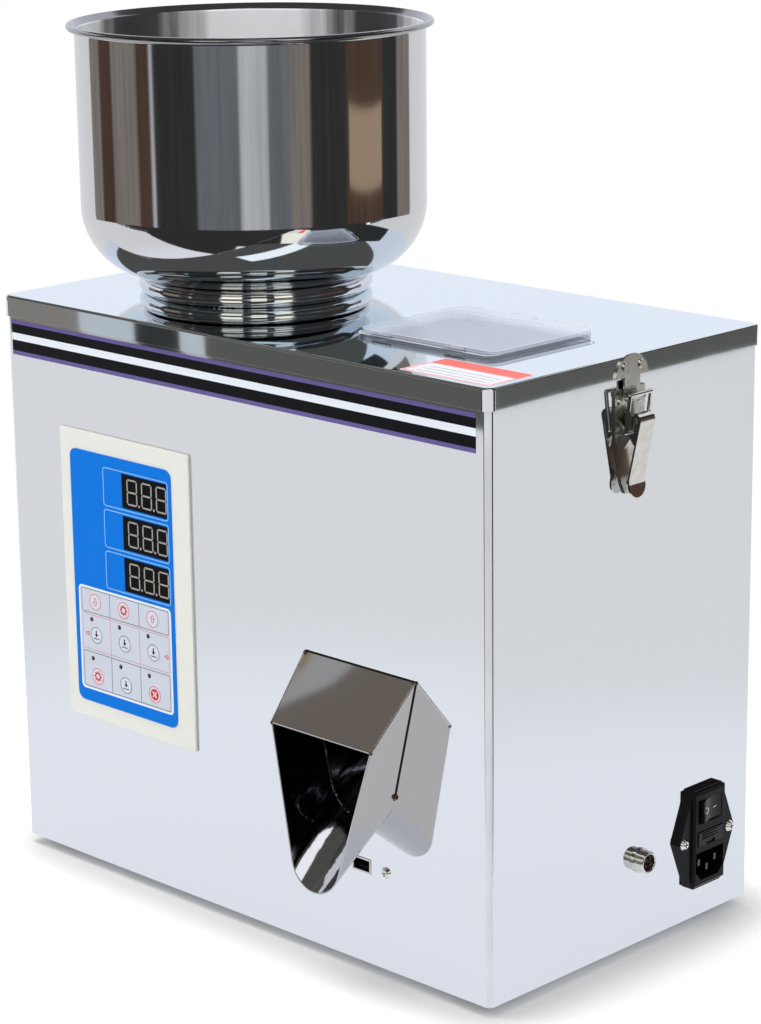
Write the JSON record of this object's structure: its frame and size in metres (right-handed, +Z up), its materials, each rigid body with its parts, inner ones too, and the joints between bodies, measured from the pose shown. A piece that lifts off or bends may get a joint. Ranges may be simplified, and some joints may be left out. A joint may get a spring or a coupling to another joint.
{
  "type": "granule filling machine",
  "caption": "Bench-top granule weigher and filler: steel case, bowl hopper on a latched lid, vibrating tray, weigh bucket, control panel and front spout.",
  "frame": {"origin": "on the surface the machine stands on, at the centre of its outline from above", "axes": "+Z up, +X to the right as seen by someone facing the control panel, -Y out of the front face with the panel and spout"},
  "size_m": [0.4026, 0.2522, 0.49],
  "materials": {
    "bright_sheet": "mirror-finished stainless steel sheet",
    "spun_steel": "bright spun stainless steel with fine turning lines",
    "satin_steel": "satin stainless steel sheet",
    "zinc_sheet": "zinc-plated steel sheet",
    "plated_steel": "bright nickel-plated steel",
    "clear_plastic": "clear acrylic",
    "ivory_plastic": "moulded ivory plastic",
    "blue_film": "printed blue control film",
    "key_plastic": "printed key pads",
    "display_filter": "black display filter",
    "black_plastic": "black moulded plastic",
    "black_rubber": "black rubber",
    "contact_brass": "brass contacts and spacers",
    "painted_iron": "painted cast iron",
    "spring_steel": "dark spring steel",
    "winding": "varnished copper winding",
    "light_alloy": "machined alloy",
    "motor_paint": "black-painted motor can",
    "circuit_board": "green circuit board with its parts"
  },
  "bodies": {
    "housing": {"case_shell": "bright_sheet", "back_panel": "bright_sheet", "spout": "satin_steel", "inner_trough": "satin_steel", "weigh_bucket": "satin_steel", "base_plate": "zinc_sheet", "feeder_deck": "zinc_sheet", "cell_mounts": "zinc_sheet", "latch_bases": "plated_steel", "latch_pins": "plated_steel", "face_screws": "plated_steel", "foot_screws": "plated_steel", "sensor_socket": "plated_steel", "data_socket": "plated_steel", "panel_bezel": "ivory_plastic", "panel_film": "blue_film", "display_modules": "display_filter", "inlet_body": "black_plastic", "socket_insert": "black_plastic", "rubber_feet": "black_rubber", "feeder_mounts": "black_rubber", "contact_pins": "contact_brass", "board_posts": "contact_brass", "feeder_base": "painted_iron", "leaf_springs": "spring_steel", "spring_clamps": "spring_steel", "magnet_core": "spring_steel", "magnet_coil": "winding", "load_cell": "light_alloy", "door_motor": "motor_paint", "panel_board": "circuit_board", "control_board": "circuit_board"},
    "lid": {"lid_pan": "bright_sheet", "hopper_bowl": "spun_steel", "bowl_foot_ring": "spun_steel", "hopper_throat": "spun_steel", "window_frame": "clear_plastic", "lid_keepers": "plated_steel", "lid_pins": "plated_steel"},
    "window_flap": {"window_flap": "clear_plastic"},
    "latch_lever_right": {"latch_lever_right": "plated_steel"},
    "latch_lever_left": {"latch_lever_left": "plated_steel"},
    "latch_bail_right": {"latch_bail_right": "plated_steel"},
    "latch_bail_left": {"latch_bail_left": "plated_steel"},
    "power_rocker": {"power_rocker": "black_plastic"},
    "fuse_drawer": {"fuse_drawer": "black_plastic"},
    "feed_tray": {"feed_tray": "satin_steel", "tray_bracket": "light_alloy"},
    "bucket_door": {"bucket_door": "satin_steel"},
    "drive_disc": {"drive_disc": "spring_steel"},
    "key_1": {"key_1": "key_plastic"},
    "key_2": {"key_2": "key_plastic"},
    "key_3": {"key_3": "key_plastic"},
    "key_4": {"key_4": "key_plastic"},
    "key_5": {"key_5": "key_plastic"},
    "key_6": {"key_6": "key_plastic"},
    "key_7": {"key_7": "key_plastic"},
    "key_8": {"key_8": "key_plastic"},
    "key_9": {"key_9": "key_plastic"}
  },
  "joints": [
    {"name": "lid_lift", "type": "slide", "parent": "housing", "child": "lid", "axis": [0, 0, 1], "range_m": [0, 0.1]},
    {"name": "window_swing", "type": "hinge", "parent": "lid", "child": "window_flap", "pos_m": [0.0965, -0.04005, 0.338], "axis": [1, 0, 0], "range_deg": [0, 110]},
    {"name": "latch_lever_right_swing", "type": "hinge", "parent": "housing", "child": "latch_lever_right", "pos_m": [0.1974, 0.01795, 0.303], "axis": [0, -1, 0], "range_deg": [0, 105]},
    {"name": "latch_lever_left_swing", "type": "hinge", "parent": "housing", "child": "latch_lever_left", "pos_m": [-0.1974, 0.01795, 0.303], "axis": [0, 1, 0], "range_deg": [0, 105]},
    {"name": "latch_bail_right_swing", "type": "hinge", "parent": "latch_lever_right", "child": "latch_bail_right", "pos_m": [0.1936, 0.01795, 0.2966], "axis": [0, -1, 0], "range_deg": [-121, 0]},
    {"name": "latch_bail_left_swing", "type": "hinge", "parent": "latch_lever_left", "child": "latch_bail_left", "pos_m": [-0.1936, 0.01795, 0.2966], "axis": [0, 1, 0], "range_deg": [-121, 0]},
    {"name": "power_rocker_tip", "type": "hinge", "parent": "housing", "child": "power_rocker", "pos_m": [0.1892, 0.08535, 0.0697], "axis": [0, 0, 1], "range_deg": [-16, 0]},
    {"name": "fuse_drawer_slide", "type": "slide", "parent": "housing", "child": "fuse_drawer", "axis": [1, 0, 0], "range_m": [0, 0.018]},
    {"name": "feed_tray_shake", "type": "slide", "parent": "housing", "child": "feed_tray", "axis": [0.9397, 0, 0.342], "range_m": [-0.0008, 0.0008], "stiffness_N_per_m": 20000, "deforming": ["leaf_springs"]},
    {"name": "bucket_door_swing", "type": "hinge", "parent": "housing", "child": "bucket_door", "pos_m": [0.096, 0.04705, 0.2296], "axis": [1, 0, 0], "range_deg": [0, 40]},
    {"name": "drive_disc_turn", "type": "hinge", "parent": "housing", "child": "drive_disc", "pos_m": [0.14, 0.04705, 0.2296], "axis": [1, 0, 0], "range_deg": [0, 40]},
    {"name": "key_1_press", "type": "slide", "parent": "housing", "child": "key_1", "axis": [0, 1, 0], "range_m": [0, 0.0005], "stiffness_N_per_m": 200},
    {"name": "key_2_press", "type": "slide", "parent": "housing", "child": "key_2", "axis": [0, 1, 0], "range_m": [0, 0.0005], "stiffness_N_per_m": 200},
    {"name": "key_3_press", "type": "slide", "parent": "housing", "child": "key_3", "axis": [0, 1, 0], "range_m": [0, 0.0005], "stiffness_N_per_m": 200},
    {"name": "key_4_press", "type": "slide", "parent": "housing", "child": "key_4", "axis": [0, 1, 0], "range_m": [0, 0.0005], "stiffness_N_per_m": 200},
    {"name": "key_5_press", "type": "slide", "parent": "housing", "child": "key_5", "axis": [0, 1, 0], "range_m": [0, 0.0005], "stiffness_N_per_m": 200},
    {"name": "key_6_press", "type": "slide", "parent": "housing", "child": "key_6", "axis": [0, 1, 0], "range_m": [0, 0.0005], "stiffness_N_per_m": 200},
    {"name": "key_7_press", "type": "slide", "parent": "housing", "child": "key_7", "axis": [0, 1, 0], "range_m": [0, 0.0005], "stiffness_N_per_m": 200},
    {"name": "key_8_press", "type": "slide", "parent": "housing", "child": "key_8", "axis": [0, 1, 0], "range_m": [0, 0.0005], "stiffness_N_per_m": 200},
    {"name": "key_9_press", "type": "slide", "parent": "housing", "child": "key_9", "axis": [0, 1, 0], "range_m": [0, 0.0005], "stiffness_N_per_m": 200}
  ],
  "couplings": [
    {"joint": "latch_bail_right_swing", "follows": "latch_lever_right_swing", "ratio": -1.15},
    {"joint": "latch_bail_left_swing", "follows": "latch_lever_left_swing", "ratio": -1.15},
    {"joint": "drive_disc_turn", "follows": "bucket_door_swing", "ratio": 1}
  ]
}
